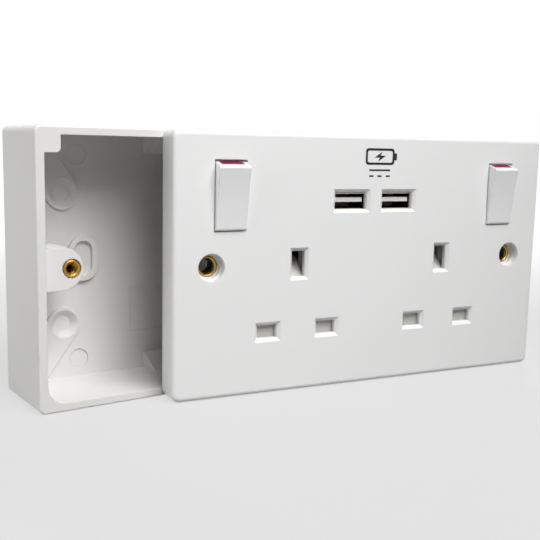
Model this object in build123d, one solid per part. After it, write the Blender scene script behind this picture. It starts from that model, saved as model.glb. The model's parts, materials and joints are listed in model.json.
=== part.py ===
# Twin switched wall socket with two charging ports, standing beside its open surface box.
# Millimetres. +X runs right along the front plate, +Y back into the wall, +Z up.
# The origin lies midway between the two fixing holes, on the plate's seating plane.
import os
from math import atan2, cos, degrees, radians, sin

from build123d import *

# Front plate
plate_width = 146.0
plate_height = 86.0
plate_depth = 10.3
plate_corner = 2.5
plate_edge = 1.6
plate_wall = 2.6
skirt_wall = 2.4

# Fixing holes and their brass bushes
fixing_pitch = 120.6
fixing_hole = 5.0
recess_diameter = 9.0
recess_depth = 2.2
recess_step = 7.9
bush_diameter = 6.9
bush_setback = 3.8
bush_rim = 0.4
bush_flange = 9.6
flange_thickness = 0.8
tube_wall = 1.6

# Pin slots of the two outlets
outlet_pitch = 57.9
pin_pitch = 22.2
earth_rise = 22.2
earth_height = 0.0
live_slot_width = 7.2
live_slot_height = 4.4
earth_slot_width = 4.8
earth_slot_height = 8.6
slot_bevel = 1.1

# Rocker switches, modelled half way and then tipped to ON
rocker_pitch = 108.0
rocker_height = 22.7
rocker_opening_width = 11.1
rocker_opening_height = 22.6
rocker_gap = 0.25
rocker_end_gap = 1.04
rocker_flare = 0.84
rocker_swing = 1.0
rocker_tilt = 8.0
rocker_proud = 2.33
rocker_dish = 0.35
rocker_wall = 1.6
rocker_skirt = 1.5
rocker_edge = 0.8
pivot_setback = 3.9
trunnion_diameter = 2.4
trunnion_length = 1.9
cheek_gap = 0.45
cheek_wall = 1.6
stem_diameter = 6.0
stem_reach = 9.0
plunger_diameter = 3.0
plunger_length = 8.6

# Switch arms, contacts and bars
arm_width = 4.0
arm_thickness = 0.8
arm_rise = 6.5
arm_drop = 10.4
arm_tilt = 5.0
arm_gap = 0.2
plunger_gap = 0.3
contact_drop = 8.7
rivet_diameter = 3.0
rivet_height = 0.6
contact_gap = 0.3
riser_gap = 1.6
bar_thickness = 0.8
bar_setback = 4.7
strap_width = 3.2
clip_width = 6.4
clip_base_width = 8.8
clip_base_height = 8.8
clip_throat = 3.7
clip_mouth = 6.0
clip_sheet = 0.6
clip_length = 9.8
strap_run_inset = 4.0
line_run_height = -12.0
line_bar_height = 25.4
neutral_bar_height = -29.0
earth_bar_height = 7.0
earth_bar_width = 4.0
earth_clip_gap = 4.2
earth_clip_length = 8.0
earth_clip_setback = 12.3
earth_ring_width = 2.0

# Terminal blocks
terminal_size = 8.0
terminal_bore = 4.2
terminal_margin = 0.3
terminal_screw = 3.4
terminal_head = 6.0
terminal_head_height = 2.4
terminal_edge = 0.6
head_slot = 1.0
tab_inset = 0.5
pedestal_inset = 1.0
entry_hole = 7.0

# Pin shutters
shutter_thickness = 2.4
shutter_travel = 5.6
shutter_lap = 1.0
shutter_end_lap = 0.25
shutter_stem = 8.4
ramp_width = 6.0
slide_gap = 0.3
spring_diameter = 2.4
spring_wire = 0.4
spring_turns = 6
spring_length = 10.2
spring_gap = 0.1
plunger_spring_turns = 4
spring_seat_width = 6.0
spring_seat_height = 1.6

# Insulator plate and mechanism housing
body_width = 104.0
body_top = 34.8
body_bottom = -34.0
shoulder_width = 126.0
shoulder_bottom = 9.5
body_corner = 2.0
housing_wall = 1.8
side_wall = 1.6
mechanism_depth = 16.0
base_thickness = 2.0
base_edge = 0.5
guide_wall = 1.0
screw_diameter = 2.9
screw_head = 5.6
screw_head_height = 1.8
screw_head_edge = 0.6
cross_slot = 0.8
screw_gap = 0.05
post_wall = 1.75
top_screw_pitch = 40.0
bottom_screw_pitch = 96.0
screw_inset = 4.0
window_gap = 0.4

# Charging ports and their supply
port_pitch = 18.8
port_height = 20.7
port_slot_width = 12.5
port_slot_height = 5.9
port_bevel = 1.0
shell_width = 13.1
shell_height = 5.7
shell_sheet = 0.3
shell_gap = 0.1
shell_drop = 0.2
tongue_width = 10.8
tongue_thickness = 1.5
tongue_offset = 0.3
tongue_root = 4.2
pad_width = 1.0
pad_thickness = 0.15
pad_setback = 1.6
pad_pitch = 2.3
pad_count = 4
board_width = 40.0
board_height = 38.4
board_bottom = -14.0
board_thickness = 1.2
board_setback = 17.0
standoff_diameter = 3.0
standoff_pitch = 28.0
standoff_inset = 2.5
core_width = 11.5
core_height = 14.0
core_thickness = 8.4
core_limb = 2.6
core_x = -9.8
core_z = -3.0
coil_bulge = 0.8
capacitor_diameter = 7.0
capacitor_length = 8.0
capacitor_edge = 0.5
capacitor_x = 8.5
capacitor_pitch = 7.6
chip_width = 6.0
chip_height = 5.0
chip_thickness = 1.5
chip_z = 12.0

# Surface box, with its own corner at the front, left and bottom
box_depth = 30.0
box_corner = 2.0
box_wall = 2.6
box_base = 2.5
box_inner_corner = 6.0
box_edge = 0.6
box_turn = 9.1
box_overlap = 40.8
box_gap = 0.1
block_width = 5.0
block_height = 5.2
block_corner = 1.6
lug_width = 13.3
lug_reach = 16.3
lug_setback = 5.5
lug_depth = 12.4
insert_diameter = 6.0
insert_bore = 3.2
insert_length = 9.0
insert_proud = 0.2
insert_edge = 0.5
well_x = 18.3
well_pitch = 43.9
well_diameter = 9.4
well_floor = 5.2
well_depth = 2.0
well_pad = 11.4
pad_height = 0.8
pad_lean = 36.5
pad_run = 22.0
knockout_x = 23.5
knockout_pitch = 68.8
knockout_diameter = 6.6
knockout_depth = 0.4
slot_well_x = 25.0
slot_well_width = 9.9
slot_well_height = 15.3
slot_well_wall = 1.8
slot_well_rise = 1.4
panel_x = 57.6
panel_width = 30.0
panel_height = 15.4
panel_drop = 19.1
panel_depth = 0.3
gusset_x = 47.5
gusset_width = 12.0
gusset_height = 5.4
gusset_depth = 11.5
gusset_top = 1.0

# Depths that the pieces share, counted along Y
face = -plate_depth
wall_back = face + plate_wall
housing_front = wall_back + shutter_thickness + 2 * slide_gap
housing_floor = housing_front + housing_wall
base_front = mechanism_depth - base_thickness
bar_front = base_front - bar_setback
bar_back = bar_front + bar_thickness
strap_back = -flange_thickness
strap_front = strap_back - bar_thickness
pivot_y = face + pivot_setback
board_front = face + board_setback
shell_front = wall_back + shell_gap

# Places that the pieces share, seen from the front
sides = {"left": -1, "right": 1}
live_height = earth_height - earth_rise
floor_height = -plate_height / 2
screw_spots = [
    (side * pitch / 2, height)
    for pitch, height in (
        (top_screw_pitch, body_top - screw_inset),
        (bottom_screw_pitch, body_bottom + screw_inset),
    )
    for side in (-1, 1)
]
ports = [side * port_pitch / 2 for side in (-1, 1)]
shell_middle = port_height - shell_drop
outlets = {name: side * outlet_pitch / 2 for name, side in sides.items()}
rockers = {name: side * rocker_pitch / 2 for name, side in sides.items()}
live_pins = [x + side * pin_pitch / 2 for x in outlets.values() for side in (-1, 1)]
half_pin = pin_pitch / 2
tube_diameter = recess_diameter + 2 * tube_wall
tube_clear = tube_diameter + 2 * window_gap
waist_width = min(body_width, fixing_pitch - tube_clear)
strap_run = waist_width / 2 - strap_run_inset


def block(x, y, z):
    """Straight block between three pairs of coordinates."""
    size = [high - low for low, high in (x, y, z)]
    middle = [(low + high) / 2 for low, high in (x, y, z)]
    return Pos(*middle) * Box(*size)


def slab(outline, front, back):
    """Outline seen from the front, carried through from one depth to another."""
    return extrude(Plane.XZ.offset(-back) * outline, back - front)


def plate_block(width, height, front, back, x=0.0, z=0.0):
    """Block centred on a point of the front view."""
    return slab(Pos(x, z) * Rectangle(width, height), front, back)


def rod(diameter, front, back, x=0.0, z=0.0):
    """Round bar lying along Y."""
    return slab(Pos(x, z) * Circle(diameter / 2), front, back)


def bevelled_slot(width, height, bevel, x, z):
    """Cut for a slot through the front wall, opened out at the face."""
    mouth = Rectangle(width + 2 * bevel, height + 2 * bevel)
    funnel = extrude(Plane.XZ.offset(-face) * Pos(x, z) * mouth, -bevel, taper=45)
    return funnel + plate_block(width, height, face, wall_back, x, z)


def coil_spring(diameter, wire, turns, length):
    """Compression spring of square wire, standing along Z from the origin."""
    rise = length - wire
    path = Helix(rise / turns, rise, (diameter - wire) / 2)
    section = Plane(path @ 0, x_dir=(1, 0, 0), z_dir=path % 0) * Rectangle(wire, wire)
    return Pos(0, 0, wire / 2) * sweep(section, path, is_frenet=True)


def housing_outline(inset=0.0):
    """Front view of the mechanism: wider shoulders behind the rockers, clear of the fixing tubes."""
    middle = (body_top + body_bottom) / 2
    shoulder_middle = (body_top + shoulder_bottom) / 2
    corner = body_corner - inset / 2
    body = RectangleRounded(body_width - 2 * inset, body_top - body_bottom - 2 * inset, corner)
    shoulder = RectangleRounded(
        shoulder_width - 2 * inset, body_top - shoulder_bottom - 2 * inset, corner
    )
    outline = Pos(0, middle) * body + Pos(0, shoulder_middle) * shoulder
    for side in (-1, 1):
        outline -= Pos(side * fixing_pitch / 2, 0) * Circle(tube_clear / 2 + inset)
    return outline


def rocker_cheek(x):
    """Ear behind the front wall that carries one end of a rocker's pivot."""
    reach = pivot_y - wall_back
    tall = trunnion_diameter + 2 * cheek_wall
    ear = Pos(pivot_y, rocker_height) * Circle(tall / 2)
    web = Pos(wall_back + reach / 2, rocker_height) * Rectangle(reach, tall)
    hole = Pos(pivot_y, rocker_height) * Circle(trunnion_diameter / 2 + screw_gap)
    return extrude(Plane.YZ.offset(x) * (ear + web - hole), cheek_wall)


def front_plate():
    """Shallow moulded plate with its slots, fixing tubes, posts and pivot ears."""
    outline = RectangleRounded(plate_width, plate_height, plate_corner)
    plate = slab(outline, face, 0)
    plate = fillet(plate.faces().sort_by(Axis.Y)[0].edges(), plate_edge)
    hollow = Rectangle(plate_width - 2 * skirt_wall, plate_height - 2 * skirt_wall)
    plate -= slab(hollow, wall_back, 0)
    for side in (-1, 1):
        x = side * fixing_pitch / 2
        plate += rod(tube_diameter, wall_back, strap_front, x)
        plate -= rod(recess_diameter, face, face + recess_depth, x)
        plate -= rod(recess_step, face, face + bush_setback, x)
        plate -= rod(bush_diameter + 2 * screw_gap, face, strap_front, x)
    for x in rockers.values():
        plate -= plate_block(
            rocker_opening_width, rocker_opening_height, face, wall_back, x, rocker_height
        )
        cheek = rocker_opening_width / 2 - rocker_gap + cheek_gap
        plate += rocker_cheek(x + cheek) + rocker_cheek(x - cheek - cheek_wall)
    for x in live_pins:
        plate -= bevelled_slot(live_slot_width, live_slot_height, slot_bevel, x, live_height)
    for x in outlets.values():
        plate -= bevelled_slot(earth_slot_width, earth_slot_height, slot_bevel, x, earth_height)
        seat_top = shutter_bottom() - spring_gap * 2 - spring_length
        plate += block(
            (x - spring_seat_width / 2, x + spring_seat_width / 2),
            (wall_back, housing_front - slide_gap),
            (seat_top - spring_seat_height, seat_top),
        )
    for x in ports:
        plate -= bevelled_slot(port_slot_width, port_slot_height, port_bevel, x, port_height)
    for x, z in screw_spots:
        post = rod(screw_diameter + 2 * post_wall, wall_back, housing_front, x, z)
        plate += post - rod(screw_diameter + 2 * screw_gap, wall_back, housing_front, x, z)
    return plate


def fixing_bush(x):
    """Flanged brass tube, its front rim eased, that earths the fixing screw."""
    bush = rod(bush_diameter, face + bush_setback, strap_back, x) + rod(bush_flange, strap_back, 0, x)
    bush -= rod(fixing_hole, face, 0, x)
    return chamfer(bush.faces().sort_by(Axis.Y)[0].edges(), bush_rim)


def shutter_bottom():
    """Lower edge of a closed shutter's crossbar."""
    return live_height - live_slot_height / 2 - shutter_lap


def shutter(x):
    """Sliding T that closes both live slots until an earth pin pushes its ramp down."""
    front = wall_back + slide_gap
    back = front + shutter_thickness
    top = shutter_bottom() + live_slot_height + 2 * shutter_lap
    reach = half_pin + live_slot_width / 2 + shutter_end_lap
    ramp_foot = earth_height - earth_slot_height / 2
    ramp_top = ramp_foot + shutter_travel
    crossbar = block((x - reach, x + reach), (front, back), (shutter_bottom(), top))
    stem = block((x - shutter_stem / 2, x + shutter_stem / 2), (front, back), (top, ramp_foot))
    slope = Polygon(
        (front, ramp_foot),
        (back, ramp_foot),
        (back + shutter_travel, ramp_top),
        (front + shutter_travel, ramp_top),
        align=None,
    )
    ramp = extrude(Plane.YZ.offset(x) * slope, ramp_width / 2, both=True)
    return crossbar + stem + ramp


def shutter_spring(x):
    """Coil below the crossbar that lifts the shutter again."""
    middle = (wall_back + housing_front) / 2
    foot = shutter_bottom() - spring_gap - spring_length
    return Pos(x, middle, foot) * coil_spring(spring_diameter, spring_wire, spring_turns, spring_length)


def tipped(x):
    """Place of a rocker's pivot, turned to the ON position."""
    return Pos(x, pivot_y, rocker_height) * Rot(X=rocker_tilt)


def rocker_body(x):
    """Hollow rocker with a dished face, two trunnions and a stem for its plunger."""
    width = rocker_opening_width - 2 * rocker_gap
    half = rocker_opening_height / 2 - rocker_end_gap
    front = -pivot_setback - rocker_proud
    wide = half + rocker_flare
    waist = wall_back - pivot_y + slide_gap
    dish = ThreePointArc((front, -half), (front + rocker_dish, 0), (front, half))
    back = Polyline(
        (front, half),
        (waist, wide),
        (rocker_skirt, wide),
        (rocker_skirt, -wide),
        (waist, -wide),
        (front, -half),
    )
    profile = make_face([dish, back])
    body = extrude(Plane.YZ * profile, width / 2, both=True)
    body = fillet(body.edges().group_by(Axis.Y)[0], rocker_edge)
    floor = front + rocker_dish + rocker_wall
    body -= block(
        (rocker_wall - width / 2, width / 2 - rocker_wall),
        (floor, rocker_skirt),
        (rocker_wall - half, half - rocker_wall),
    )
    stem = rod(stem_diameter, floor, stem_reach)
    body += stem
    body -= rod(plunger_diameter + 2 * screw_gap, floor + screw_gap, stem_reach)
    pin = Cylinder(trunnion_diameter / 2, trunnion_length, rotation=(0, 90, 0))
    offset_x = (width + trunnion_length) / 2
    body += Pos(offset_x, 0, 0) * pin + Pos(-offset_x, 0, 0) * pin
    return tipped(x) * body


def plunger_tip():
    """Distance from a rocker's pivot to the end of its plunger."""
    arm_face = bar_front - bar_thickness - rivet_height - arm_gap - arm_thickness
    return arm_face - plunger_gap - pivot_y


def plunger(x):
    """Round-nosed rod that the rocker drags along the switch arm."""
    tip = plunger_tip()
    radius = plunger_diameter / 2
    rod_part = rod(plunger_diameter, tip - plunger_length, tip - radius)
    nose = Pos(0, tip - radius, 0) * Sphere(radius)
    return tipped(x) * (rod_part + nose)


def plunger_spring(x):
    """Coil in the rocker's stem behind the plunger."""
    floor = rocker_dish + rocker_wall - pivot_setback - rocker_proud + 2 * screw_gap
    length = plunger_tip() - plunger_length - floor - screw_gap
    wound = coil_spring(plunger_diameter - spring_gap, spring_wire, plunger_spring_turns, length)
    return tipped(x) * Pos(0, floor, 0) * Rot(X=-90) * wound


def arm_pivot():
    """Depth of the ridge that a switch arm rocks on."""
    return bar_front - bar_thickness - rivet_height + arm_gap / 2


def switch_arm(x):
    """Rocking strip that closes on the line contact, with its contact rivet."""
    back = -arm_gap
    front = back - arm_thickness
    strip = block((-arm_width / 2, arm_width / 2), (front, back), (-arm_drop, arm_rise))
    rivet = rod(rivet_diameter, front - rivet_height, front, 0, -contact_drop)
    return Pos(x, arm_pivot(), rocker_height) * Rot(X=-arm_tilt) * (strip + rivet)


def line_bar():
    """Bar from the line terminal to the ridges under both switch arms."""
    reach = rocker_pitch / 2 + arm_width / 2
    half = strap_width / 2
    bar = block((-reach, reach), (bar_front, bar_back), (line_bar_height - half, line_bar_height + half))
    tab = terminal_size / 2 - tab_inset
    bar += block((-tab, tab), (bar_front, bar_back), (line_bar_height, top_terminal()[1]))
    for x in rockers.values():
        span = (x - arm_width / 2, x + arm_width / 2)
        bar += block(span, (bar_front, bar_back), (rocker_height - half, line_bar_height))
        ridge = Polygon(
            (bar_front, rocker_height - half),
            (bar_front, rocker_height + half),
            (arm_pivot() + arm_gap / 2, rocker_height),
            align=None,
        )
        bar += extrude(Plane.YZ.offset(x) * ridge, arm_width / 2, both=True)
    screw_z = terminal_middle(top_terminal())
    return bar - rod(terminal_screw + 2 * screw_gap, bar_front, bar_back, 0, screw_z)


def clip(x):
    """Pair of spring leaves that grip one live pin."""
    mouth = face + clip_length
    throat = (mouth + bar_front) / 2 - clip_sheet * 2
    heel = (clip_throat + clip_mouth) / 4
    leaf = Polygon(
        (mouth, clip_mouth / 2),
        (throat, clip_throat / 2),
        (bar_back, heel),
        (bar_back, heel + clip_sheet),
        (throat, clip_throat / 2 + clip_sheet),
        (mouth, clip_mouth / 2 + clip_sheet),
        align=None,
    )
    upper = extrude(Plane.YZ * leaf, clip_width / 2, both=True)
    base = plate_block(clip_base_width, clip_base_height, bar_front, bar_back)
    return Pos(x, 0, live_height) * (upper + mirror(upper, Plane.XY) + base)


def line_contact(name):
    """Live clip with a strap that climbs to the switch and ends under the arm's rivet."""
    side = sides[name]
    pin = outlets[name] + half_pin
    half = strap_width / 2
    run = side * strap_run
    height = rocker_height - contact_drop
    flat = (bar_front, bar_back)
    across = (min(pin, run) - half, max(pin, run) + half)
    part = clip(pin)
    part += block((pin - half, pin + half), flat, (live_height, line_run_height + half))
    part += block(across, flat, (line_run_height - half, line_run_height + half))
    part += block((run - half, run + half), flat, (line_run_height, height + half))
    step = rockers[name] - side * (arm_width / 2 + riser_gap)
    drop = height - rocker_height
    arm_face = arm_pivot() + drop * sin(radians(arm_tilt)) - arm_gap - arm_thickness
    seat = arm_face - 2 * rivet_height - contact_gap
    seat_flat = (seat - bar_thickness, seat)
    level = (height - half, height + half)
    riser = sorted((step - side * bar_thickness, step))
    seat_ends = (*riser, rockers[name] - arm_width / 2, rockers[name] + arm_width / 2)
    part += block(riser, (seat_flat[0], bar_back), level)
    part += block(sorted((run, step)), flat, level)
    part += block((min(seat_ends), max(seat_ends)), seat_flat, level)
    part += rod(rivet_diameter, seat, seat + rivet_height, rockers[name], height)
    return part


def neutral_bar():
    """Bar that joins both neutral clips to the neutral terminal."""
    pins = [x - half_pin for x in outlets.values()]
    half = strap_width / 2
    low = neutral_bar_height - half
    bar = block(
        (pins[0] - clip_base_width / 2, pins[1] + clip_base_width / 2),
        (bar_front, bar_back),
        (low, neutral_bar_height + half),
    )
    for x in pins:
        bar += clip(x)
        bar += block((x - half, x + half), (bar_front, bar_back), (low, live_height))
    bar += plate_block(terminal_size, 2 * strap_width, bar_front, bar_back, 0, neutral_bar_height)
    return bar - rod(terminal_screw + 2 * screw_gap, bar_front, bar_back, 0, neutral_bar_height)


def earth_strap():
    """Flat strap joining both earth clips, both bushes and the earth terminal."""
    half = earth_bar_width / 2
    flat = (strap_front, strap_back)
    end = fixing_pitch / 2
    level = (earth_bar_height - half, earth_bar_height + half)
    strap = block((-strap_run, strap_run), flat, level)
    ring = bush_diameter + 2 * screw_gap
    for side in (-1, 1):
        run = Vector(end - strap_run, -earth_bar_height)
        tilt = side * degrees(atan2(run.Y, run.X))
        middle = Pos(side * (strap_run + end) / 2, earth_bar_height / 2)
        arm = middle * SlotCenterToCenter(run.length, earth_bar_width, rotation=tilt)
        strap += slab(arm, *flat)
        strap += rod(ring + 2 * earth_ring_width, *flat, side * end)
        strap -= rod(ring, *flat, side * end)
    clip_front = face + earth_clip_setback
    inner = earth_clip_gap / 2
    outer = inner + clip_sheet
    foot = earth_height - earth_slot_height / 2
    crown = earth_bar_height - half
    for x in outlets.values():
        depth = (clip_front, clip_front + earth_clip_length)
        strap += block((x - outer, x + outer), (strap_front, depth[1]), (crown, crown + clip_sheet))
        for side in (-1, 1):
            leaf = sorted((x + side * inner, x + side * outer))
            strap += block(leaf, depth, (foot, crown + clip_sheet))
    tail = outlets["right"]
    jog = tail + shutter_stem / 2 + half
    low = foot - shutter_travel - 2 * window_gap
    strap += block((jog - half, jog + half), flat, (low, earth_bar_height))
    strap += block((tail - half, jog + half), flat, (low - earth_bar_width, low))
    strap += block((tail - half, tail + half), flat, (bottom_terminal()[0], low))
    return strap


def top_terminal():
    """Height span of the line terminal, just under the housing's top wall."""
    top = body_top - side_wall - terminal_margin
    return (top - terminal_size, top)


def bottom_terminal():
    """Height span of the lower terminals, just above the housing's bottom wall."""
    bottom = body_bottom + side_wall + terminal_margin
    return (bottom, bottom + terminal_size)


def terminal_middle(span):
    """Middle of a terminal's height span."""
    return (span[0] + span[1]) / 2


# Each terminal: its place across, its height span, its front and the bar behind its head
terminals = {
    "line": (0.0, top_terminal(), bar_front - terminal_size, bar_back),
    "neutral": (0.0, bottom_terminal(), bar_front - terminal_size, bar_back),
    "earth": (outlets["right"], bottom_terminal(), strap_back, strap_back + terminal_size),
}


def terminal_screw_height(name):
    """Height of a terminal's screw, where the bar behind it has its hole."""
    span = terminals[name][1]
    return neutral_bar_height if name == "neutral" else terminal_middle(span)


def terminal(name):
    """Brass block with a wire bore through its height and a tapped hole from behind."""
    x, span, front, _ = terminals[name]
    back = front + terminal_size
    half = terminal_size / 2
    body = block((x - half, x + half), (front, back), span)
    body = chamfer(body.edges().filter_by(Axis.Z), terminal_edge)
    middle = (front + back) / 2
    body -= Pos(x, middle, terminal_middle(span)) * Cylinder(terminal_bore / 2, terminal_size)
    return body - rod(terminal_screw + 2 * screw_gap, middle, back, x, terminal_screw_height(name))


def terminal_screws():
    """Slotted clamping screws of the three terminals."""
    group = []
    for name, (x, _, front, seat) in terminals.items():
        z = terminal_screw_height(name)
        tip = front + terminal_size / 2 + terminal_bore / 2 + terminal_margin
        screw = rod(terminal_screw, tip, seat, x, z)
        screw += rod(terminal_head, seat, seat + terminal_head_height, x, z)
        slot_floor = seat + terminal_head_height / 2
        screw -= plate_block(terminal_head, head_slot, slot_floor, seat + terminal_head_height, x, z)
        group.append(screw)
    return Compound(children=group)


def shutter_guides(x):
    """Rails on the insulator's face that keep one shutter straight and stop it at the top."""
    front = wall_back + slide_gap
    depth = (front, housing_front)
    top = shutter_bottom() + live_slot_height + 2 * shutter_lap
    reach = half_pin + live_slot_width / 2 + shutter_end_lap
    ramp_foot = earth_height - earth_slot_height / 2
    rails = []
    for side in (-1, 1):
        inner = x + side * (shutter_stem / 2 + slide_gap)
        end = x + side * (reach + slide_gap)
        inner_wall = sorted((inner, inner + side * guide_wall))
        end_wall = sorted((end, end + side * guide_wall))
        rails.append(block(inner_wall, depth, (top + slide_gap, ramp_foot)))
        rails.append(block(end_wall, depth, (shutter_bottom(), top)))
    return rails


def insulator_plate():
    """Flat wall between the shutters and the live parts, with a window for every pin and switch."""
    wall = (housing_front, housing_floor)
    plate = slab(housing_outline(), *wall)
    window = 2 * window_gap
    for x in rockers.values():
        ears = rocker_opening_width - 2 * rocker_gap + 2 * (cheek_gap + cheek_wall) + window
        tall = rocker_opening_height - 2 * rocker_end_gap + 2 * rocker_swing
        plate -= plate_block(ears, tall, *wall, x, rocker_height)
    for x in live_pins:
        plate -= plate_block(live_slot_width + window, live_slot_height + window, *wall, x, live_height)
    for x in outlets.values():
        half = ramp_width / 2 + window_gap
        foot = earth_height - earth_slot_height / 2 - shutter_travel - window_gap
        crown = earth_height + earth_slot_height / 2 + window_gap
        plate -= block((x - half, x + half), wall, (foot, crown))
        for rail in shutter_guides(x):
            plate += rail
    for x in ports:
        plate -= plate_block(shell_width + window, shell_height + window, *wall, x, shell_middle)
    for x, z in screw_spots:
        plate -= rod(screw_diameter + 2 * screw_gap, *wall, x, z)
    for name, (x, span, front, _) in terminals.items():
        pedestal = strap_front if name == "earth" else front
        half = terminal_size / 2 - pedestal_inset
        inner = (span[0] + pedestal_inset, span[1] - pedestal_inset)
        plate += block((x - half, x + half), (housing_floor, pedestal), inner)
    half_bar = earth_bar_width / 2
    for ledge in run_ledges():
        level = (earth_bar_height - half_bar, earth_bar_height + half_bar)
        plate += block(ledge, (housing_floor, strap_front), level)
    return plate


def run_ledges():
    """Spans across of the two narrow ribs under the straps that climb to the switches."""
    rib = strap_width / 4
    return [(side * strap_run - rib, side * strap_run + rib) for side in (-1, 1)]


def mechanism_housing():
    """Deep tub behind the insulator that carries the contacts, switches and supply."""
    housing = slab(housing_outline(), housing_floor, mechanism_depth)
    housing = chamfer(housing.faces().sort_by(Axis.Y)[-1].edges(), base_edge)
    housing -= slab(housing_outline(side_wall), housing_floor, base_front)
    half = strap_width / 2
    for x in live_pins:
        housing += plate_block(clip_width, clip_base_height, bar_back, base_front, x, live_height)
    for x in rockers.values():
        span = (x - arm_width / 2, x + arm_width / 2)
        housing += block(span, (bar_back, base_front), (rocker_height - half, line_bar_height + half))
    for ledge in run_ledges():
        level = (line_run_height - half, rocker_height - contact_drop)
        housing += block(ledge, (bar_back, base_front), level)
    for x, z in standoff_spots():
        housing += rod(standoff_diameter, board_front + board_thickness, base_front, x, z)
    for x, z in screw_spots:
        housing += rod(screw_diameter + 2 * post_wall, housing_floor, base_front, x, z)
        housing -= rod(screw_diameter + 2 * screw_gap, housing_floor, mechanism_depth, x, z)
    for name, (x, _, front, _) in terminals.items():
        entry = Pos(x, front + terminal_size / 2, body_top if name == "line" else body_bottom)
        housing -= entry * Cylinder(entry_hole / 2, 2 * (side_wall + terminal_margin))
        hole = terminal_head + 2 * window_gap
        housing -= rod(hole, base_front, mechanism_depth, x, terminal_screw_height(name))
    for side in (-1, 1):
        wall = sorted((side * (waist_width / 2 - side_wall), side * body_width / 2))
        notch = (earth_bar_height - 1.5 * earth_bar_width, shoulder_bottom)
        housing -= block(wall, (housing_floor, strap_back + window_gap), notch)
    return housing


def standoff_spots():
    """Places of the four posts behind the supply's board."""
    low = board_bottom + standoff_inset
    high = board_bottom + board_height - standoff_inset
    return [(side * standoff_pitch / 2, z) for z in (low, high) for side in (-1, 1)]


def housing_screws():
    """Four cross-slotted screws that hold housing, insulator and plate together."""
    group = []
    for x, z in screw_spots:
        screw = rod(screw_diameter, wall_back + window_gap, mechanism_depth, x, z)
        head = rod(screw_head, mechanism_depth, mechanism_depth + screw_head_height, x, z)
        head = chamfer(head.faces().sort_by(Axis.Y)[-1].edges(), screw_head_edge)
        top = mechanism_depth + screw_head_height
        for width, height in ((screw_head / 2, cross_slot), (cross_slot, screw_head / 2)):
            head -= plate_block(width, height, mechanism_depth + screw_head_height / 2, top, x, z)
        group.append(screw + head)
    return Compound(children=group)


def usb_shell(x):
    """Folded steel shell of one charging port."""
    outer = RectangleRounded(shell_width, shell_height, 2 * shell_sheet)
    width, height = shell_width - 2 * shell_sheet, shell_height - 2 * shell_sheet
    inner = RectangleRounded(width, height, shell_sheet)
    return slab(Pos(x, shell_middle) * (outer - inner), shell_front, board_front)


def usb_tongue(x):
    """Moulded tongue that carries the port's contacts, on its block at the board."""
    root = board_front - tongue_root
    width = shell_width - 2 * shell_sheet - 2 * screw_gap
    height = shell_height - 2 * shell_sheet - 2 * screw_gap
    outline = RectangleRounded(width, height, shell_sheet)
    body = slab(Pos(x, shell_middle) * outline, root, board_front)
    z = port_height + tongue_offset
    return body + plate_block(tongue_width, tongue_thickness, shell_front, root, x, z)


def usb_contacts(x):
    """Row of gilded strips under the tongue."""
    z = port_height + tongue_offset - (tongue_thickness + pad_thickness) / 2
    front = shell_front + pad_setback
    back = board_front - tongue_root
    first = x - pad_pitch * (pad_count - 1) / 2
    strips = [
        plate_block(pad_width, pad_thickness, front, back, first + i * pad_pitch, z)
        for i in range(pad_count)
    ]
    return Compound(children=strips)


def usb_board():
    """Circuit board of the charging supply."""
    middle = board_bottom + board_height / 2
    back = board_front + board_thickness
    return plate_block(board_width, board_height, board_front, back, 0, middle)


def transformer_core():
    """Three-limbed ferrite core, lying on the board."""
    front = board_front - core_thickness
    core = plate_block(core_width, core_height, front, board_front, core_x, core_z)
    window_width = (core_width - 3 * core_limb) / 2
    for side in (-1, 1):
        x = core_x + side * (core_limb + window_width) / 2
        core -= plate_block(window_width, core_height - 2 * core_limb, front, board_front, x, core_z)
    return core


def transformer_coil():
    """Winding round the middle limb, filling both windows."""
    window_width = (core_width - 3 * core_limb) / 2
    width = core_limb + 2 * window_width - 2 * screw_gap
    height = core_height - 2 * core_limb - 2 * screw_gap
    front = board_front - core_thickness - coil_bulge
    coil = RectangleRounded(width, height, window_width / 2)
    limb = Rectangle(core_limb + 2 * screw_gap, height)
    around = slab(Pos(core_x, core_z) * (coil - limb), front + coil_bulge, board_front)
    return around + slab(Pos(core_x, core_z) * coil, front, front + coil_bulge)


def smoothing_capacitors():
    """Two round capacitors standing on the board."""
    cans = []
    for side in (-1, 1):
        z = core_z + side * capacitor_pitch / 2
        can = rod(capacitor_diameter, board_front - capacitor_length, board_front, capacitor_x, z)
        cans.append(chamfer(can.faces().sort_by(Axis.Y)[0].edges(), capacitor_edge))
    return Compound(children=cans)


def control_chip():
    """Small charging controller on the back of the board."""
    back = board_front + board_thickness
    return plate_block(chip_width, chip_height, back, back + chip_thickness, 0, chip_z)


def box_place():
    """Where the surface box stands: its rim just behind the plate's left back edge."""
    turn = radians(box_turn)
    x = -plate_width / 2 - box_overlap * cos(turn) - box_gap * sin(turn)
    y = -box_overlap * sin(turn) + box_gap * cos(turn)
    return Location((x, y, floor_height), (0, 0, box_turn))


def box_lug(side):
    """Half-round lug on one side wall, in the box's own coordinates."""
    radius = lug_width / 2
    nose = lug_reach - radius
    outline = Pos(nose / 2, 0) * Rectangle(nose, lug_width) + Pos(nose, 0) * Circle(radius)
    lug = slab(Pos(0, plate_height / 2) * outline, lug_setback, lug_setback + lug_depth)
    return lug if side < 0 else across(lug)


def across(shape):
    """Mirror of a shape about the middle of the box's width."""
    return mirror(shape, Plane.YZ.offset(plate_width / 2))


def above(shape):
    """Mirror of a shape about the middle of the box's height."""
    return mirror(shape, Plane.XY.offset(plate_height / 2))


def insert_x(side):
    """Place of one threaded insert across the box."""
    return (plate_width + side * fixing_pitch) / 2


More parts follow.
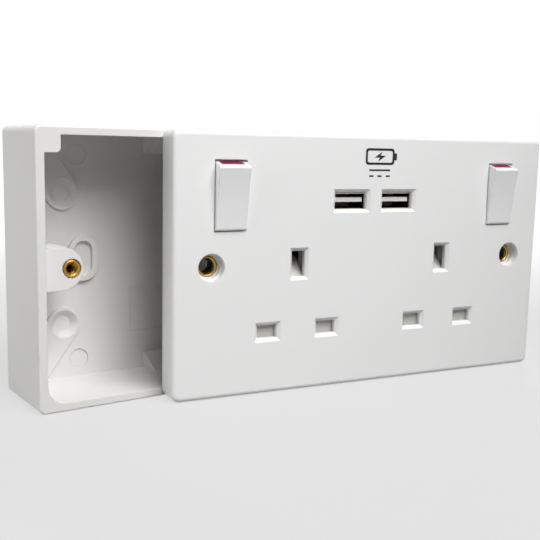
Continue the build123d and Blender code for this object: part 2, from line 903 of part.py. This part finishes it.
def screw_well():
    """Raised tear-drop pad on the base that runs into the box's lower corner."""
    floor = box_depth - box_base
    z = (plate_height - well_pitch) / 2
    lean = radians(pad_lean)
    far = (well_x - pad_run * sin(lean), z - pad_run * cos(lean))
    round_end = Pos(well_x, z) * Circle(well_pad / 2)
    corner_end = Pos(*far) * Circle(well_pad / 2)
    pad = make_hull(round_end.edges() + corner_end.edges())
    return slab(pad, floor - pad_height, floor)


def well_cut():
    """Dished hollow in one tear-drop pad."""
    top = box_depth - box_base - pad_height
    z = (plate_height - well_pitch) / 2
    dish = Cone(well_diameter / 2, well_floor / 2, well_depth, rotation=(-90, 0, 0))
    return Pos(well_x, top + well_depth / 2, z) * dish


def box_gusset():
    """Sloped block between the base and the bottom wall."""
    floor = box_depth - box_base
    slope = Polygon(
        (floor, box_wall),
        (floor - gusset_depth, box_wall),
        (floor - gusset_top, box_wall + gusset_height),
        (floor, box_wall + gusset_height),
        align=None,
    )
    return extrude(Plane.YZ.offset(gusset_x) * slope, gusset_width, dir=(1, 0, 0))


def back_box():
    """Deep moulded surface box with lugs, corner blocks, screw wells and knock-outs."""
    middle = Pos(plate_width / 2, plate_height / 2)
    floor = box_depth - box_base
    outline = middle * RectangleRounded(plate_width, plate_height, box_corner)
    box = slab(outline, 0, box_depth)
    box = fillet(box.faces().sort_by(Axis.Y)[0].edges(), box_edge)
    box = fillet(box.faces().sort_by(Axis.Y)[-1].edges(), box_edge)
    inside = middle * RectangleRounded(
        plate_width - 2 * box_wall, plate_height - 2 * box_wall, box_inner_corner
    )
    cavity = slab(inside, 0, floor)
    corner = RectangleRounded(2 * block_width, 2 * block_height, block_corner)
    corner_block = slab(Pos(box_wall, plate_height - box_wall) * corner, 0, floor)
    fill = [corner_block, across(corner_block)]
    low = [screw_well(), box_gusset()]
    low += [across(shape) for shape in low]
    fill += low + [above(shape) for shape in low]
    well = Pos(slot_well_x, plate_height / 2) * SlotOverall(slot_well_height, slot_well_width, rotation=90)
    rim = slab(well, floor - slot_well_rise, floor)
    fill += [rim, across(rim), box_lug(-1), box_lug(1)]
    for shape in fill:
        cavity -= shape
    box -= cavity
    inner_well = SlotOverall(
        slot_well_height - 2 * slot_well_wall, slot_well_width - 2 * slot_well_wall, rotation=90
    )
    hollow = slab(Pos(slot_well_x, plate_height / 2) * inner_well, floor - slot_well_rise, floor)
    knockout_z = (plate_height - knockout_pitch) / 2
    disc = rod(knockout_diameter, floor, floor + knockout_depth, knockout_x, knockout_z)
    cuts = [well_cut(), disc]
    cuts += [above(shape) for shape in cuts] + [hollow]
    cuts += [across(shape) for shape in cuts]
    panel_z = plate_height / 2 - panel_drop
    cuts.append(plate_block(panel_width, panel_height, floor, floor + panel_depth, panel_x, panel_z))
    for shape in cuts:
        box -= shape
    for side in (-1, 1):
        x = insert_x(side)
        back = lug_setback + insert_length
        box -= rod(insert_diameter + 2 * screw_gap, lug_setback, back, x, plate_height / 2)
    return box_place() * box


def box_insert(side):
    """Threaded brass insert in one lug."""
    x = insert_x(side)
    front = lug_setback - insert_proud
    back = lug_setback + insert_length
    insert = rod(insert_diameter, front, back, x, plate_height / 2)
    insert -= rod(insert_bore, front, back, x, plate_height / 2)
    return box_place() * chamfer(insert.faces().sort_by(Axis.Y)[0].edges(), insert_edge)


def all_nodes():
    """Every piece of the set by its name."""
    nodes = {
        "front_plate": front_plate(),
        "insulator_plate": insulator_plate(),
        "mechanism_housing": mechanism_housing(),
        "housing_screws": housing_screws(),
        "line_bar": line_bar(),
        "neutral_bar": neutral_bar(),
        "earth_strap": earth_strap(),
        "terminal_screws": terminal_screws(),
        "usb_board": usb_board(),
        "transformer_core": transformer_core(),
        "transformer_coil": transformer_coil(),
        "smoothing_capacitors": smoothing_capacitors(),
        "control_chip": control_chip(),
        "back_box": back_box(),
    }
    for name in terminals:
        nodes[f"{name}_terminal"] = terminal(name)
    for name, side in sides.items():
        nodes[f"{name}_fixing_bush"] = fixing_bush(side * fixing_pitch / 2)
        nodes[f"{name}_rocker"] = rocker_body(rockers[name])
        nodes[f"{name}_plunger"] = plunger(rockers[name])
        nodes[f"{name}_plunger_spring"] = plunger_spring(rockers[name])
        nodes[f"{name}_switch_arm"] = switch_arm(rockers[name])
        nodes[f"{name}_line_contact"] = line_contact(name)
        nodes[f"{name}_shutter"] = shutter(outlets[name])
        nodes[f"{name}_shutter_spring"] = shutter_spring(outlets[name])
        nodes[f"{name}_usb_shell"] = usb_shell(side * port_pitch / 2)
        nodes[f"{name}_usb_tongue"] = usb_tongue(side * port_pitch / 2)
        nodes[f"{name}_usb_contacts"] = usb_contacts(side * port_pitch / 2)
        nodes[f"{name}_box_insert"] = box_insert(side)
    return nodes


os.makedirs("parts", exist_ok=True)
for node, shape in all_nodes().items():
    export_step(shape, f"parts/{node}.step")
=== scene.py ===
"""Looks for the twin switched wall socket with charging ports, standing beside its surface box."""

import json
from math import cos, pi, radians, sin, tan

import bmesh
import bpy
from mathutils import Matrix, Vector


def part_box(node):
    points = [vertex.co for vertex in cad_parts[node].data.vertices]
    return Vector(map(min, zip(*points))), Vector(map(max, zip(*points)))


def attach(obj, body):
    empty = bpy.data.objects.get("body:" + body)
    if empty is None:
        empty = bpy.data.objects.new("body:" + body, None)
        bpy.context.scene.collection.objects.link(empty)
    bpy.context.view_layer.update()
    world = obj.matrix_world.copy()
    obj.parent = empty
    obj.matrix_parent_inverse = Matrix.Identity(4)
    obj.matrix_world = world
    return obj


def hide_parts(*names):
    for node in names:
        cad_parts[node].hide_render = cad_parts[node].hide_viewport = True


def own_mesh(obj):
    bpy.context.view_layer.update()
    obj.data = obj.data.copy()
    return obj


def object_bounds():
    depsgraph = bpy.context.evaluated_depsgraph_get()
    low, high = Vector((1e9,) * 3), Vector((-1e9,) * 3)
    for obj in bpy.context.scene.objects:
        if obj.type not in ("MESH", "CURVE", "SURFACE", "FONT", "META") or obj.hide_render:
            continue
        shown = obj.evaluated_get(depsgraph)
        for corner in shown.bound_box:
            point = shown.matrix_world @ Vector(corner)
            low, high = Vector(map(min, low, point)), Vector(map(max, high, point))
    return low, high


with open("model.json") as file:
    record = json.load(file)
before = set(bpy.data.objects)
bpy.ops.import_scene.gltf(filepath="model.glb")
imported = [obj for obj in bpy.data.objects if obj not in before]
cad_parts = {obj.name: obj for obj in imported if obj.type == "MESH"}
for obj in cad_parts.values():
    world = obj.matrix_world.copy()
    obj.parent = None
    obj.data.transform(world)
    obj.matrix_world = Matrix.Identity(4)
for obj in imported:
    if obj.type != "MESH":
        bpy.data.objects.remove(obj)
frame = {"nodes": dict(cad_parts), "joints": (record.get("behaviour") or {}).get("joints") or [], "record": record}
cad_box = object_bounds()
nodes = frame["nodes"]
record = frame["record"]

# Lengths are in millimetres and angles in degrees, unless a heading says otherwise
MM = 0.001

# Camera: where it stands in the row frame, and how it is turned
camera_place = (-158.4, -252.5, 38.1)
camera_yaw = 26.09
camera_pitch = -8.36
camera_roll = 1.27
image_size = 540
focal_pixels = 836.0
sensor_width = 36.0

# Lamps: powers in watts
key_place = (20, -330, 440)
key_target = (-90, 0, 15)
key_size = 400
key_power = 1.09
key_spread = 80
left_fill_place = (-750, -60, 110)
left_fill_power = 2.0
back_fill_place = (600, 650, 50)
back_fill_power = 8.5
fill_target = (-45, 0, 5)
fill_size = 300

# World and floor: the floor fades to white over fade_span, counted from the origin
world_strength = 0.015
world_tint = (0.97, 0.98, 1.0)
floor_dark = (0.28, 0.28, 0.28)
floor_pale = (0.30, 0.30, 0.30)
floor_mottle = 90
floor_roughness = 0.9
floor_specular = 0.1
floor_drop = 0.2
floor_reach = 3000
floor_cells = 8
fade_span = (150, 450)
fade_near = 0.65

# Moulded plastic: scales of noise are in features per metre, here and below
cloud_scale = 14
gloss_scale = 60
gloss_swing = 0.02
grain_scale = 2600
grain_depth = 0.04
wave_scale = 40
wave_strength = 0.03
wave_depth = 0.6
plastic_ior = 1.5
plastic_specular = 0.3

# Worked metal
tarnish_scale = 220
scratch_scale = 1800
scratch_strength = 0.15
scratch_depth = 0.03
polish_low = 0.08
polish_high = 0.12
rolled_edge = 0.5
along_depth = (1, 0.06, 1)
along_width = (0.06, 1, 1)

# Bore of the fixing bushes: painted shade, near black, deep in the bore; where it starts, out from the bore and in
# from the rim
bore_painted_shade = (0.012, 0.01, 0.008)
bore_blend = (0.05, 0.2)
bore_start = (1.0, 1.8)
bore_specular = 0.05

# Shells of the charging ports: painted shade, near black, inside the shell; where the steel of the front edge
# gives way to it
port_steel = (0.70, 0.66, 0.58)
port_shade = 0.8
port_painted_shade = (0.012, 0.012, 0.014)
port_rim = (0.15, 0.5)
port_scale = 400
port_gloss_scale = 900
port_roughness = (0.35, 0.55)
port_specular = 0.1

# Circuit board
board_green = (0.02, 0.17, 0.06)
board_shade = 1.2
board_trace = (0.05, 0.30, 0.12)
board_scale = 260
board_gloss_scale = 300
board_roughness = (0.3, 0.42)

# Ink
ink_scale = 1500
ink_thin = (0.45, 0.8)
ink_gloss_scale = 600
ink_roughness = (0.35, 0.5)
ink_specular = 0.2

# Print on the plate: a battery with a bolt, over the sign for direct current
print_lift = 0.02
sign_middle = (1.1, 35.7)
battery_size = (11.6, 5.6)
battery_line = 0.8
battery_corner = 1.1
battery_knob = (1.0, 2.4)
bolt = ((0.9, 1.75), (-2.3, -0.35), (-0.15, -0.35), (-0.9, -1.75), (2.3, 0.35), (0.15, 0.35))
current_middle = (1.1, 30.1)
current_size = (8.4, 2.0)
current_line = 0.6
dash_count = 3

# Coloured strip on the upper end of each rocker, counted from the rocker's pivot
strip_width = 7.9
strip_span = (-4.3, -1.6)
end_height = 11.26
end_slope = 9.12

# Thread in the box's inserts: the flank is a share of the pitch
thread_pitch = 0.6
thread_height = 0.26
thread_inset = 0.5
thread_flank = 0.4
thread_steps = 24

# Springs under the shutters
coil_wire = 0.4
coil_turns = 6
coil_steps = 20
wire_sides = 8

# Places read from the frame, in metres, and the rockers' tilt from mid travel
sides = ("left", "right")
joints = {joint["name"]: joint for joint in frame["joints"]}
mounts = {mount["name"]: mount for mount in record["mounts"]}
plate_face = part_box("front_plate")[0].y
shell_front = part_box("left_usb_shell")[0].y
bush_place = sum(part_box("right_fixing_bush"), Vector()) / 2
bush_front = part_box("right_fixing_bush")[0].y
bush_bore = mounts["plate_fixings"]["dims"]["hole_r_mm"] * MM
thread_bore = mounts["box_left_thread"]["dims"]["r_mm"] * MM
thread_length = mounts["box_left_thread"]["dims"]["length_mm"] * MM
thread_axis = -Vector(mounts["box_left_thread"]["axis"])
rocker_tilt = -joints["left_rocker_tilt"]["range_deg"][0] / 2


def link(obj):
    """Add an object to the scene."""
    bpy.context.scene.collection.objects.link(obj)
    return obj


def mesh_object(name, bm, material):
    """Object made from a bmesh in metres, with its material."""
    mesh = bpy.data.meshes.new(name)
    bm.to_mesh(mesh)
    bm.free()
    mesh.materials.append(material)
    return link(bpy.data.objects.new(name, mesh))


def opaque(colour, share=1.0):
    """Colour with full alpha, made darker or paler by a share."""
    return tuple(c * share for c in colour) + (1,)


def beyond(start, span):
    """Two places in metres, counted in millimetres from a start in metres."""
    return tuple(start + distance * MM for distance in span)


class Shader:
    """Short way to write a material's nodes and links."""

    def __init__(self, name):
        self.material = bpy.data.materials.new(name)
        self.material.use_nodes = True
        self.tree = self.material.node_tree
        self.surface = self.tree.nodes["Principled BSDF"]
        self.place = self.node("ShaderNodeTexCoord").outputs["Object"]

    def put(self, socket, value):
        """Link a socket to an output, or set it to a value."""
        if isinstance(value, bpy.types.NodeSocket):
            self.tree.links.new(value, socket)
        else:
            socket.default_value = value

    def fill(self, node, **inputs):
        """Put values on a node's inputs, with underscores in the names for spaces."""
        for key, value in inputs.items():
            self.put(node.inputs[key.replace("_", " ")], value)
        return node

    def node(self, kind, **inputs):
        """New node with values on its inputs."""
        return self.fill(self.tree.nodes.new(kind), **inputs)

    def finish(self, **inputs):
        """Put values on the inputs of the surface's own shader."""
        self.fill(self.surface, **inputs)

    def noise(self, scale, detail=3.0, roughness=0.5, stretch=(1, 1, 1)):
        """Noise over the object's own coordinates, with features about 1/scale metres wide."""
        mapped = self.node("ShaderNodeMapping", Vector=self.place, Scale=stretch)
        made = self.node("ShaderNodeTexNoise", Vector=mapped.outputs[0], Scale=scale)
        self.fill(made, Detail=detail, Roughness=roughness)
        return made.outputs["Fac"]

    def spread(self, value, low, high, source=(0.3, 0.7)):
        """A value carried from its source span, the usual one of a noise, to low and high."""
        made = self.node("ShaderNodeMapRange", Value=value)
        self.fill(made, From_Min=source[0], From_Max=source[1], To_Min=low, To_Max=high)
        return made.outputs["Result"]

    def math(self, operation, first, second=0.0):
        """One sum of one or two values."""
        made = self.node("ShaderNodeMath")
        made.operation = operation
        self.put(made.inputs[0], first)
        self.put(made.inputs[1], second)
        return made.outputs[0]

    def blend(self, factor, first, second):
        """Colour between two others."""
        made = self.node("ShaderNodeMix")
        made.data_type = "RGBA"
        self.fill(made, Factor=factor, A=first, B=second)
        return made.outputs["Result"]

    def rounded_edges(self, radius):
        """Normal that looks rounded at the edges."""
        return self.node("ShaderNodeBevel", Radius=radius * MM).outputs[0]

    def bump(self, height, strength, depth, normal):
        """Normal with bumps laid over another."""
        made = self.node("ShaderNodeBump", Height=height, Strength=strength, Normal=normal)
        self.fill(made, Distance=depth * MM)
        return made.outputs[0]


def plastic(name, colour, roughness, speck=0.012, grain=0.03, soft_edge=0.3):
    """Moulded plastic: faint mottling, a fine moulded grain and slightly uneven gloss."""
    s = Shader(name)
    cloud = s.spread(s.noise(cloud_scale, detail=2.0, roughness=0.4), 0, 1)
    gloss = s.noise(gloss_scale, detail=2.0)
    fine = s.bump(s.noise(grain_scale, detail=2.0), grain, grain_depth, s.rounded_edges(soft_edge))
    s.finish(
        Base_Color=s.blend(cloud, opaque(colour, 1 - speck), opaque(colour)),
        Roughness=s.spread(gloss, roughness - gloss_swing, roughness + gloss_swing),
        Normal=s.bump(s.noise(wave_scale, detail=1.0), wave_strength, wave_depth, fine),
        IOR=plastic_ior,
        Specular_IOR_Level=plastic_specular,
    )
    return s


def metal(name, colour, tarnish, roughness, stretch=(1, 1, 1), soft_edge=0.1):
    """Worked metal: two tones of tarnish, drawn scratches, rolled edges and uneven polish."""
    s = Shader(name)
    cloud = s.spread(s.noise(tarnish_scale, detail=5.0, roughness=0.65), 0, 1)
    scratch = s.noise(scratch_scale, detail=2.0, stretch=stretch)
    s.tone = s.blend(cloud, opaque(colour), opaque(tarnish))
    s.finish(
        Base_Color=s.tone,
        Roughness=s.spread(scratch, roughness - polish_low, roughness + polish_high),
        Normal=s.bump(scratch, scratch_strength, scratch_depth, s.rounded_edges(soft_edge)),
        Metallic=1.0,
    )
    return s


def bush_metal(name, **brass):
    """Brass of the fixing bushes, rolled at the rim, with painted shade down the bore: near black and not metallic
    from a little behind the front.
    """
    s = metal(name, **brass)
    parts = s.node("ShaderNodeSeparateXYZ", Vector=s.place).outputs
    across = s.math("SUBTRACT", s.math("ABSOLUTE", parts["X"]), bush_place.x)
    upward = s.math("SUBTRACT", parts["Z"], bush_place.z)
    radius = s.math("SQRT", s.math("ADD", s.math("POWER", across, 2), s.math("POWER", upward, 2)))
    # Painted shade: the bore wall turns near black from a little behind the front, standing in for the shade deep
    # in the hole
    within = s.spread(radius, 1, 0, beyond(bush_bore, bore_blend))
    deep = s.spread(parts["Y"], 0, 1, beyond(bush_front, bore_start))
    inside = s.math("MULTIPLY", within, deep)
    s.finish(
        Base_Color=s.blend(inside, s.tone, opaque(bore_painted_shade)),
        Metallic=s.spread(inside, 1, 0, (0, 1)),
        Specular_IOR_Level=bore_specular,
    )
    return s


def port_metal(name):
    """Folded shell of a charging port: plain steel at its front edge, with painted shade behind it, near black and
    not metallic.
    """
    s = Shader(name)
    along = s.node("ShaderNodeSeparateXYZ", Vector=s.place).outputs["Y"]
    # Painted shade: the shell turns near black behind its front edge, standing in for the shade deep in the port
    inward = s.spread(along, 0, 1, beyond(shell_front, port_rim))
    streaks = s.noise(port_scale, detail=4.0)
    bright = s.blend(streaks, opaque(port_steel), opaque(port_steel, port_shade))
    s.finish(
        Base_Color=s.blend(inward, bright, opaque(port_painted_shade)),
        Roughness=s.spread(s.noise(port_gloss_scale), *port_roughness),
        Metallic=s.spread(inward, 1, 0, (0, 1)),
        Specular_IOR_Level=port_specular,
    )
    return s


def ink(name, colour, wear):
    """Printed ink: solid, a little uneven, with tiny thin spots."""
    s = Shader(name)
    thin = s.spread(s.noise(ink_scale, detail=4.0, roughness=0.7), 0, 1, ink_thin)
    s.finish(
        Base_Color=s.blend(thin, opaque(colour), opaque(wear)),
        Roughness=s.spread(s.noise(ink_gloss_scale), *ink_roughness),
        Specular_IOR_Level=ink_specular,
    )
    return s


def laminate(name):
    """Coated circuit board with tracks that show through the lacquer."""
    s = Shader(name)
    cells = s.node("ShaderNodeTexBrick", Vector=s.place, Scale=board_scale)
    s.fill(
        cells,
        Color1=opaque(board_green),
        Color2=opaque(board_green, board_shade),
        Mortar=opaque(board_trace),
    )
    gloss = s.noise(board_gloss_scale)
    s.finish(Base_Color=cells.outputs["Color"], Roughness=s.spread(gloss, *board_roughness))
    return s


plastics = {
    "plate_white": dict(colour=(0.82, 0.82, 0.815), roughness=0.30),
    "rocker_white": dict(colour=(0.82, 0.82, 0.82), roughness=0.26, soft_edge=0.4),
    # The shutters are white plastic darkened to grey: painted shade for the shade deep in the slots in front of
    # them
    "shutter_white": dict(colour=(0.56, 0.55, 0.52), roughness=0.42),
    "housing_white": dict(colour=(0.72, 0.72, 0.70), roughness=0.45, speck=0.03, grain=0.12),
    "box_white": dict(colour=(0.765, 0.758, 0.745), roughness=0.32),
    "tongue_white": dict(colour=(0.80, 0.80, 0.78), roughness=0.40),
    "plunger_black": dict(colour=(0.05, 0.05, 0.05), roughness=0.42, speck=0.2),
    "coil_tape": dict(colour=(0.72, 0.58, 0.10), roughness=0.30, speck=0.1),
    "capacitor_black": dict(colour=(0.035, 0.035, 0.05), roughness=0.28, speck=0.2),
    "chip_black": dict(colour=(0.03, 0.03, 0.03), roughness=0.55, speck=0.3, grain=0.2),
    "ferrite": dict(colour=(0.05, 0.05, 0.055), roughness=0.6, speck=0.3, grain=0.25),
}
insert_brass = dict(colour=(0.52, 0.33, 0.08), tarnish=(0.36, 0.21, 0.04), roughness=0.24)
rim_brass = dict(colour=(0.55, 0.36, 0.10), tarnish=(0.38, 0.23, 0.05), roughness=0.24)
clip_brass = dict(colour=(0.85, 0.63, 0.28), tarnish=(0.72, 0.50, 0.20), roughness=0.30)
gilding = dict(colour=(0.95, 0.72, 0.30), tarnish=(0.85, 0.60, 0.22), roughness=0.20)
bright_steel = dict(colour=(0.66, 0.66, 0.66), tarnish=(0.52, 0.51, 0.50), roughness=0.30)
grey_steel = dict(colour=(0.58, 0.58, 0.59), tarnish=(0.44, 0.44, 0.45), roughness=0.28)
looks = {name: plastic(name, **finish) for name, finish in plastics.items()}
looks["brass"] = metal("brass", stretch=along_depth, soft_edge=rolled_edge, **insert_brass)
looks["bush_brass"] = bush_metal("bush_brass", soft_edge=rolled_edge, **rim_brass)
looks["contact_brass"] = metal("contact_brass", stretch=along_width, **clip_brass)
looks["gilded"] = metal("gilded", stretch=along_depth, **gilding)
looks["steel"] = metal("steel", **bright_steel)
looks["spring_steel"] = metal("spring_steel", **grey_steel)
looks["port_steel"] = port_metal("port_steel")
looks["board_green"] = laminate("board_green")
looks["ink_black"] = ink("ink_black", colour=(0.012, 0.012, 0.014), wear=(0.05, 0.05, 0.05))
looks["strip_crimson"] = ink("strip_crimson", colour=(0.27, 0.010, 0.065), wear=(0.22, 0.008, 0.05))
for part in record["subparts"]:
    mesh = nodes[part["node"]].data
    bush = part["node"].endswith("fixing_bush")
    mesh.materials.clear()
    mesh.materials.append(looks["bush_brass" if bush else part["material_slot"]].material)


def rounded(width, height, radius, steps=6):
    """Corner points of a rounded rectangle about the origin, anticlockwise."""
    points = []
    for quarter, (sx, sz) in enumerate(((1, 1), (-1, 1), (-1, -1), (1, -1))):
        for i in range(steps + 1):
            angle = (quarter + i / steps) * pi / 2
            x = sx * (width / 2 - radius) + radius * cos(angle)
            z = sz * (height / 2 - radius) + radius * sin(angle)
            points.append((x, z))
    return points


def bar(middle, size):
    """Corner points of a plain rectangle."""
    x, z = middle
    w = size[0] / 2
    h = size[1] / 2
    return [(x - w, z - h), (x + w, z - h), (x + w, z + h), (x - w, z + h)]


def shifted(points, middle):
    """Points moved from the origin to a middle."""
    return [(x + middle[0], z + middle[1]) for x, z in points]


def printed(name, shapes, rings=()):
    """Print that lies on the plate's face: filled shapes, and rings between two outlines."""
    bm = bmesh.new()

    def corners(outline):
        level = plate_face - print_lift * MM
        return [bm.verts.new((x * MM, level, z * MM)) for x, z in outline]

    for shape in shapes:
        bm.faces.new(corners(shape))
    for outer, inner in rings:
        out = corners(outer)
        into = corners(inner)
        for i in range(len(out)):
            bm.faces.new((out[i - 1], out[i], into[i], into[i - 1]))
    bmesh.ops.recalc_face_normals(bm, faces=bm.faces)
    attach(mesh_object(name, bm, looks["ink_black"].material), "socket")


def charging_sign():
    """Plain battery with a bolt, above the ports."""
    wide, tall = battery_size
    outer = rounded(wide, tall, battery_corner)
    inner = rounded(wide - 2 * battery_line, tall - 2 * battery_line, battery_corner - battery_line / 2)
    knob = bar(((wide + battery_knob[0]) / 2, 0), battery_knob)
    shapes = [shifted(knob, sign_middle), shifted(bolt, sign_middle)]
    printed("battery_sign", shapes, [(shifted(outer, sign_middle), shifted(inner, sign_middle))])


def current_sign():
    """Bar over dashes, the common sign for direct current."""
    x, z = current_middle
    wide, tall = current_size
    shapes = [bar((x, z + tall / 2), (wide, current_line))]
    dash = wide / (2 * dash_count - 1)
    for i in range(dash_count):
        dash_x = x - wide / 2 + dash / 2 + 2 * i * dash
        shapes.append(bar((dash_x, z - tall / 2), (dash, current_line)))
    printed("current_sign", shapes)


def rocker_strip(side):
    """Crimson strip on the end of a rocker, shown when it is ON."""
    pivot = Vector(joints[f"{side}_rocker_tilt"]["pos_m"])
    turn = Matrix.Rotation(radians(rocker_tilt), 4, "X")
    half = strip_width / 2
    front, back = strip_span
    bm = bmesh.new()
    corners = []
    for x, y in ((-half, front), (half, front), (half, back), (-half, back)):
        z = end_height + y * tan(radians(end_slope)) + print_lift
        corners.append(bm.verts.new(pivot + turn @ Vector((x, y, z)) * MM))
    bm.faces.new(corners)
    strip = mesh_object(f"{side}_on_strip", bm, looks["strip_crimson"].material)
    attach(strip, f"{side}_rocker_body")


def insert_thread(side):
    """Helical ridge in the bore of one box insert."""
    middle = sum(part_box(f"{side}_box_insert"), Vector()) / 2
    upward = Vector((0, 0, 1))
    across = thread_axis.cross(upward)
    pitch = thread_pitch * MM
    crest = thread_bore - thread_height * MM
    start = thread_inset * MM + pitch / 2 - thread_length / 2
    turns = (thread_length - thread_inset * MM) / pitch - 1
    ridge = ((thread_bore, -thread_flank), (crest, 0), (thread_bore, thread_flank))
    bm = bmesh.new()
    rows = []
    for i in range(round(turns * thread_steps) + 1):
        angle = 2 * pi * i / thread_steps
        depth = start + pitch * i / thread_steps
        outward = across * cos(angle) + upward * sin(angle)
        row = []
        for radius, shift in ridge:
            place = middle + thread_axis * (depth + shift * pitch) + outward * radius
            row.append(bm.verts.new(place))
        rows.append(row)
    for first, second in zip(rows, rows[1:]):
        for i in range(len(ridge) - 1):
            bm.faces.new((first[i], first[i + 1], second[i + 1], second[i]))
    bmesh.ops.recalc_face_normals(bm, faces=bm.faces)
    thread = mesh_object(f"{side}_insert_thread", bm, looks["brass"].material)
    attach(thread, "socket")


def shutter_coil(side):
    """Round-wire spring below a shutter, built at the spring part's size in its place."""
    node = f"{side}_shutter_spring"
    low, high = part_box(node)
    middle = (low + high) / 2
    wire = coil_wire * MM / 2
    radius = (high.x - low.x) / 2 - wire
    length = high.z - low.z
    rise = length - 2 * wire
    steps = coil_turns * coil_steps
    bm = bmesh.new()
    rings = []
    for i in range(steps + 1):
        angle = 2 * pi * i / coil_steps
        height = low.z + wire + rise * i / steps
        outward = Vector((cos(angle), sin(angle), 0))
        centre = Vector((middle.x, middle.y, height)) + outward * radius
        ring = []
        for k in range(wire_sides):
            turn = 2 * pi * k / wire_sides
            shift = outward * cos(turn) + Vector((0, 0, sin(turn)))
            ring.append(bm.verts.new(centre + shift * wire))
        rings.append(ring)
    for first, second in zip(rings, rings[1:]):
        for k in range(wire_sides):
            bm.faces.new((first[k - 1], first[k], second[k], second[k - 1])).smooth = True
    bm.faces.new(rings[0])
    bm.faces.new(rings[-1])
    bmesh.ops.recalc_face_normals(bm, faces=bm.faces)
    coil = mesh_object(f"{side}_shutter_coil", bm, looks["spring_steel"].material)
    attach(coil, "socket")
    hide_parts(node)
    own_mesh(coil)


charging_sign()
current_sign()
for side in sides:
    rocker_strip(side)
    insert_thread(side)
    shutter_coil(side)


def area_light(name, place, target, size, power, spread=180):
    """Square soft light aimed at a point."""
    data = bpy.data.lights.new(name, "AREA")
    data.size = size * MM
    data.energy = power
    data.spread = radians(spread)
    lamp = link(bpy.data.objects.new(name, data))
    lamp.location = Vector(place) * MM
    aim = (Vector(target) - Vector(place)).normalized()
    lamp.rotation_mode = "QUATERNION"
    lamp.rotation_quaternion = aim.to_track_quat("-Z", "Y")


def shown_rays(tree):
    """One for the rays that only show a backdrop and don't light the object."""
    path = tree.nodes.new("ShaderNodeLightPath")
    seen = path.outputs["Is Camera Ray"]
    for ray in ("Is Glossy Ray", "Is Transmission Ray"):
        either = tree.nodes.new("ShaderNodeMath")
        either.operation = "MAXIMUM"
        tree.links.new(seen, either.inputs[0])
        tree.links.new(path.outputs[ray], either.inputs[1])
        seen = either.outputs[0]
    return seen


def background_light():
    """World that lights softly and shows as white behind the object."""
    world = bpy.data.worlds.new("studio")
    bpy.context.scene.world = world
    world.use_nodes = True
    tree = world.node_tree
    shown = tree.nodes["Background"]
    shown.inputs["Color"].default_value = opaque((1, 1, 1))
    shown.inputs["Strength"].default_value = 1.0
    lit = tree.nodes.new("ShaderNodeBackground")
    lit.inputs["Color"].default_value = opaque(world_tint)
    lit.inputs["Strength"].default_value = world_strength
    mix = tree.nodes.new("ShaderNodeMixShader")
    tree.links.new(shown_rays(tree), mix.inputs["Fac"])
    tree.links.new(lit.outputs[0], mix.inputs[1])
    tree.links.new(shown.outputs[0], mix.inputs[2])
    tree.links.new(mix.outputs[0], tree.nodes["World Output"].inputs["Surface"])


def floor():
    """Pale ground that fades into the white backdrop away from the object."""
    s = Shader("floor_paper")
    s.finish(
        Base_Color=s.blend(s.noise(floor_mottle), opaque(floor_dark), opaque(floor_pale)),
        Roughness=floor_roughness,
        Specular_IOR_Level=floor_specular,
    )
    white = s.node("ShaderNodeEmission", Strength=1.0)
    away = s.node("ShaderNodeVectorMath", Vector=s.place)
    away.operation = "LENGTH"
    far = s.spread(away.outputs["Value"], fade_near, 1, beyond(0, fade_span))
    mix = s.node("ShaderNodeMixShader", Fac=s.math("MULTIPLY", far, shown_rays(s.tree)))
    s.tree.links.new(s.surface.outputs[0], mix.inputs[1])
    s.tree.links.new(white.outputs[0], mix.inputs[2])
    s.tree.links.new(mix.outputs[0], s.tree.nodes["Material Output"].inputs["Surface"])
    bm = bmesh.new()
    bmesh.ops.create_grid(bm, x_segments=floor_cells, y_segments=floor_cells, size=floor_reach * MM)
    bmesh.ops.translate(bm, verts=bm.verts, vec=(0, 0, cad_box[0].z - floor_drop * MM))
    mesh_object("floor", bm, s.material)


def camera():
    """Camera at the photograph's viewpoint."""
    data = bpy.data.cameras.new("camera")
    data.sensor_width = sensor_width
    data.lens = focal_pixels / image_size * sensor_width
    yaw = radians(camera_yaw)
    pitch = radians(camera_pitch)
    roll = radians(camera_roll)
    forward = Vector((sin(yaw) * cos(pitch), cos(yaw) * cos(pitch), sin(pitch)))
    level = Vector((cos(yaw), -sin(yaw), 0))
    upright = level.cross(forward)
    right = level * cos(roll) + upright * sin(roll)
    up = upright * cos(roll) - level * sin(roll)
    turned = Matrix((right, up, -forward)).transposed().to_4x4()
    obj = link(bpy.data.objects.new("camera", data))
    obj.matrix_world = Matrix.Translation(Vector(camera_place) * MM) @ turned
    bpy.context.scene.camera = obj


area_light("key", key_place, key_target, key_size, key_power, key_spread)
area_light("left_fill", left_fill_place, fill_target, fill_size, left_fill_power)
area_light("back_fill", back_fill_place, fill_target, fill_size, back_fill_power)
background_light()
floor()
camera()
bpy.context.scene.view_settings.view_transform = "Standard"
